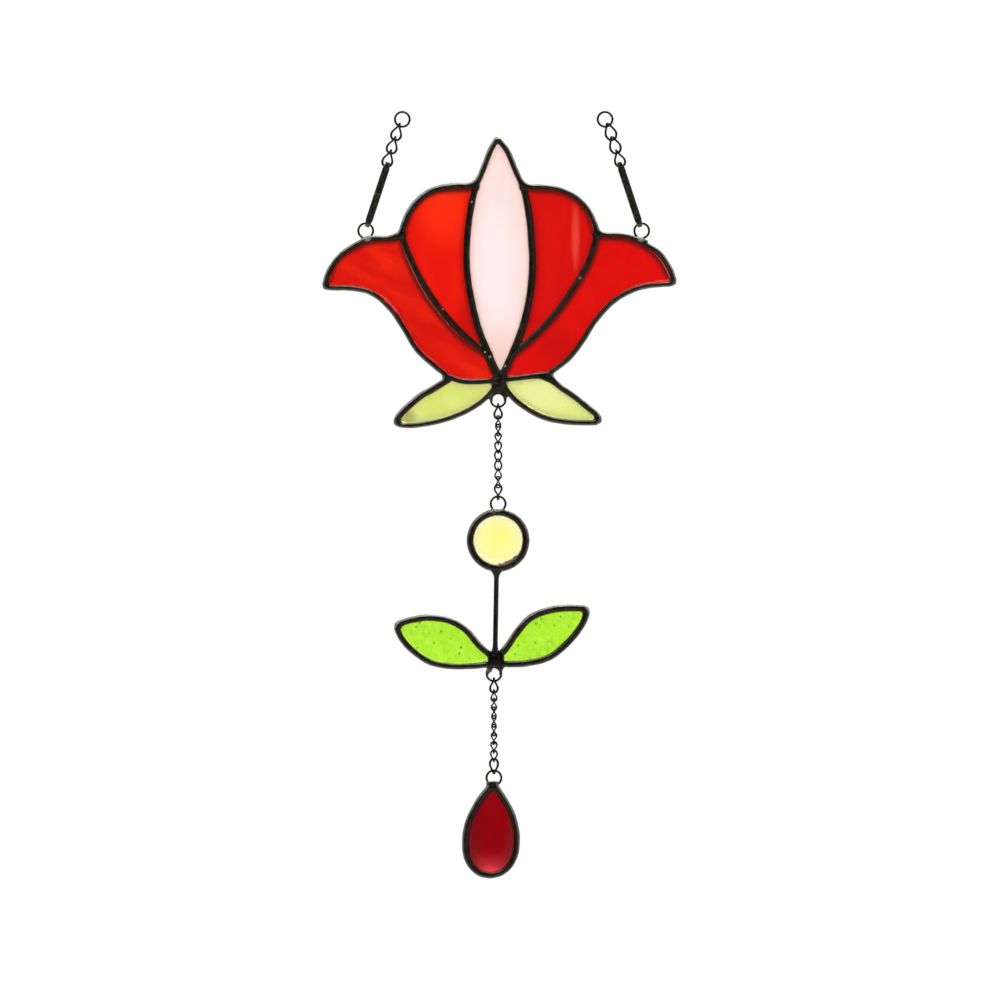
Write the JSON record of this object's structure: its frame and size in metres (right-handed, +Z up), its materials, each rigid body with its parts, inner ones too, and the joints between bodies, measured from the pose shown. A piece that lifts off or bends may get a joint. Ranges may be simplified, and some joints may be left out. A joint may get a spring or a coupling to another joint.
{
  "type": "hanging stained glass panel",
  "caption": "Hanging stained glass flower on twin chain hangers, with a glass bud, leaves and a red glass drop strung below it on fine chains.",
  "frame": {"origin": "midway between the centres of the two hanging rings at the top", "axes": "+X to the viewer's right, +Z up along the hanging line, -Y is the front that faces the viewer"},
  "size_m": [0.159, 0.006, 0.3454],
  "materials": {
    "red_glass": "streaky opalescent red sheet glass",
    "pink_glass": "wispy pale pink and white sheet glass",
    "lime_glass": "pale lime opalescent sheet glass",
    "yellow_glass": "pale yellow sheet glass",
    "green_glass": "bright lime seedy glass",
    "ruby_glass": "deep red jewel glass",
    "black_solder": "solder over copper foil with black patina",
    "black_wire": "blackened wire and strip"
  },
  "bodies": {
    "hang_rings": {"hang_ring_left": "black_wire", "hang_ring_right": "black_wire"},
    "hanger_links_1": {"hanger_link_left_1": "black_wire", "hanger_link_right_1": "black_wire"},
    "hanger_links_2": {"hanger_link_left_2": "black_wire", "hanger_link_right_2": "black_wire"},
    "hanger_links_3": {"hanger_link_left_3": "black_wire", "hanger_link_right_3": "black_wire"},
    "straps": {"strap_left": "black_wire", "strap_right": "black_wire"},
    "flower": {"petal_centre": "pink_glass", "petal_inner_left": "red_glass", "petal_inner_right": "red_glass", "petal_outer_left": "red_glass", "petal_outer_right": "red_glass", "sepal_left": "lime_glass", "sepal_right": "lime_glass", "flower_came": "black_solder", "panel_ring_left": "black_wire", "panel_ring_right": "black_wire", "flower_low_ring": "black_wire"},
    "bud_chain_1": {"bud_chain_1": "black_wire"},
    "bud_chain_2": {"bud_chain_2": "black_wire"},
    "bud_chain_3": {"bud_chain_3": "black_wire"},
    "bud_chain_4": {"bud_chain_4": "black_wire"},
    "bud_chain_5": {"bud_chain_5": "black_wire"},
    "bud_chain_6": {"bud_chain_6": "black_wire"},
    "bud_chain_7": {"bud_chain_7": "black_wire"},
    "bud_chain_8": {"bud_chain_8": "black_wire"},
    "bud_chain_9": {"bud_chain_9": "black_wire"},
    "bud_chain_10": {"bud_chain_10": "black_wire"},
    "bud": {"bud_bezel": "black_solder", "bud_glass": "yellow_glass", "bud_ring": "black_wire", "stem": "black_solder", "leaf_left": "green_glass", "leaf_right": "green_glass", "leaf_came": "black_solder", "leaf_ring": "black_wire"},
    "drop_chain_1": {"drop_chain_1": "black_wire"},
    "drop_chain_2": {"drop_chain_2": "black_wire"},
    "drop_chain_3": {"drop_chain_3": "black_wire"},
    "drop_chain_4": {"drop_chain_4": "black_wire"},
    "drop_chain_5": {"drop_chain_5": "black_wire"},
    "drop_chain_6": {"drop_chain_6": "black_wire"},
    "drop_chain_7": {"drop_chain_7": "black_wire"},
    "drop_chain_8": {"drop_chain_8": "black_wire"},
    "drop_chain_9": {"drop_chain_9": "black_wire"},
    "drop_chain_10": {"drop_chain_10": "black_wire"},
    "drop": {"drop_glass": "ruby_glass", "drop_bezel": "black_solder", "drop_ring": "black_wire"}
  },
  "joints": [
    {"name": "hanger_links_1_hinge", "type": "hinge", "parent": "hang_rings", "child": "hanger_links_1", "pos_m": [0, 0, -0.00304], "axis": [1, 0, 0], "range_deg": [-45, 45]},
    {"name": "hanger_links_2_hinge", "type": "hinge", "parent": "hanger_links_1", "child": "hanger_links_2", "pos_m": [0, 0, -0.0091], "axis": [-1, 0, 0], "range_deg": [-45, 45]},
    {"name": "hanger_links_3_hinge", "type": "hinge", "parent": "hanger_links_2", "child": "hanger_links_3", "pos_m": [0, 0, -0.01508], "axis": [1, 0, 0], "range_deg": [-45, 45]},
    {"name": "straps_hinge", "type": "hinge", "parent": "hanger_links_3", "child": "straps", "pos_m": [0, 0, -0.02107], "axis": [-1, 0, 0], "range_deg": [-30, 30]},
    {"name": "flower_hinge", "type": "hinge", "parent": "straps", "child": "flower", "pos_m": [0, 0, -0.04709], "axis": [1, 0, 0], "range_deg": [-40, 40]},
    {"name": "bud_chain_1_hinge", "type": "hinge", "parent": "flower", "child": "bud_chain_1", "pos_m": [-0.0025, 0, -0.12933], "axis": [-1, 0, 0], "range_deg": [-50, 50]},
    {"name": "bud_chain_2_hinge", "type": "hinge", "parent": "bud_chain_1", "child": "bud_chain_2", "pos_m": [-0.0025, 0, -0.13456], "axis": [1, 0, 0], "range_deg": [-50, 50]},
    {"name": "bud_chain_3_hinge", "type": "hinge", "parent": "bud_chain_2", "child": "bud_chain_3", "pos_m": [-0.0025, 0, -0.13836], "axis": [-0.866, -0.5, 0], "range_deg": [-50, 50]},
    {"name": "bud_chain_4_hinge", "type": "hinge", "parent": "bud_chain_3", "child": "bud_chain_4", "pos_m": [-0.0025, 0, -0.14225], "axis": [0.5, 0.866, 0], "range_deg": [-50, 50]},
    {"name": "bud_chain_5_hinge", "type": "hinge", "parent": "bud_chain_4", "child": "bud_chain_5", "pos_m": [-0.0025, 0, -0.14616], "axis": [-0.0872, -0.9962, 0], "range_deg": [-50, 50]},
    {"name": "bud_chain_6_hinge", "type": "hinge", "parent": "bud_chain_5", "child": "bud_chain_6", "pos_m": [-0.0025, 0, -0.15005], "axis": [-0.225, 0.9744, 0], "range_deg": [-50, 50]},
    {"name": "bud_chain_7_hinge", "type": "hinge", "parent": "bud_chain_6", "child": "bud_chain_7", "pos_m": [-0.0025, 0, -0.15396], "axis": [0.5446, -0.8387, 0], "range_deg": [-50, 50]},
    {"name": "bud_chain_8_hinge", "type": "hinge", "parent": "bud_chain_7", "child": "bud_chain_8", "pos_m": [-0.0025, 0, -0.15785], "axis": [-0.8387, 0.5446, 0], "range_deg": [-50, 50]},
    {"name": "bud_chain_9_hinge", "type": "hinge", "parent": "bud_chain_8", "child": "bud_chain_9", "pos_m": [-0.0025, 0, -0.16176], "axis": [0.9998, -0.0175, 0], "range_deg": [-45, 45]},
    {"name": "bud_chain_10_hinge", "type": "hinge", "parent": "bud_chain_9", "child": "bud_chain_10", "pos_m": [-0.0025, 0, -0.16565], "axis": [-0.7986, -0.6018, 0], "range_deg": [-25, 25]},
    {"name": "bud_hinge", "type": "hinge", "parent": "bud_chain_10", "child": "bud", "pos_m": [-0.0025, 0, -0.17095], "axis": [0.225, 0.9744, 0], "range_deg": [-50, 50]},
    {"name": "drop_chain_1_hinge", "type": "hinge", "parent": "bud", "child": "drop_chain_1", "pos_m": [-0.0044, 0, -0.25263], "axis": [1, 0, 0], "range_deg": [-50, 50]},
    {"name": "drop_chain_2_hinge", "type": "hinge", "parent": "drop_chain_1", "child": "drop_chain_2", "pos_m": [-0.0044, 0, -0.25786], "axis": [-1, 0, 0], "range_deg": [-50, 50]},
    {"name": "drop_chain_3_hinge", "type": "hinge", "parent": "drop_chain_2", "child": "drop_chain_3", "pos_m": [-0.0044, 0, -0.26166], "axis": [0.9744, 0.225, 0], "range_deg": [-50, 50]},
    {"name": "drop_chain_4_hinge", "type": "hinge", "parent": "drop_chain_3", "child": "drop_chain_4", "pos_m": [-0.0044, 0, -0.26555], "axis": [-0.9063, -0.4226, 0], "range_deg": [-50, 50]},
    {"name": "drop_chain_5_hinge", "type": "hinge", "parent": "drop_chain_4", "child": "drop_chain_5", "pos_m": [-0.0044, 0, -0.26946], "axis": [0.8192, 0.5736, 0], "range_deg": [-50, 50]},
    {"name": "drop_chain_6_hinge", "type": "hinge", "parent": "drop_chain_5", "child": "drop_chain_6", "pos_m": [-0.0044, 0, -0.27336], "axis": [-0.7071, -0.7071, 0], "range_deg": [-50, 50]},
    {"name": "drop_chain_7_hinge", "type": "hinge", "parent": "drop_chain_6", "child": "drop_chain_7", "pos_m": [-0.0044, 0, -0.27725], "axis": [0.5736, 0.8192, 0], "range_deg": [-50, 50]},
    {"name": "drop_chain_8_hinge", "type": "hinge", "parent": "drop_chain_7", "child": "drop_chain_8", "pos_m": [-0.0044, 0, -0.28115], "axis": [-0.3907, -0.9205, 0], "range_deg": [-50, 50]},
    {"name": "drop_chain_9_hinge", "type": "hinge", "parent": "drop_chain_8", "child": "drop_chain_9", "pos_m": [-0.0044, 0, -0.28506], "axis": [0.1564, 0.9877, 0], "range_deg": [-50, 50]},
    {"name": "drop_chain_10_hinge", "type": "hinge", "parent": "drop_chain_9", "child": "drop_chain_10", "pos_m": [-0.0044, 0, -0.28896], "axis": [0.0872, -0.9962, 0], "range_deg": [-50, 50]},
    {"name": "drop_hinge", "type": "hinge", "parent": "drop_chain_10", "child": "drop", "pos_m": [-0.0044, 0, -0.29425], "axis": [-0.2588, 0.9659, 0], "range_deg": [-50, 50]}
  ]
}
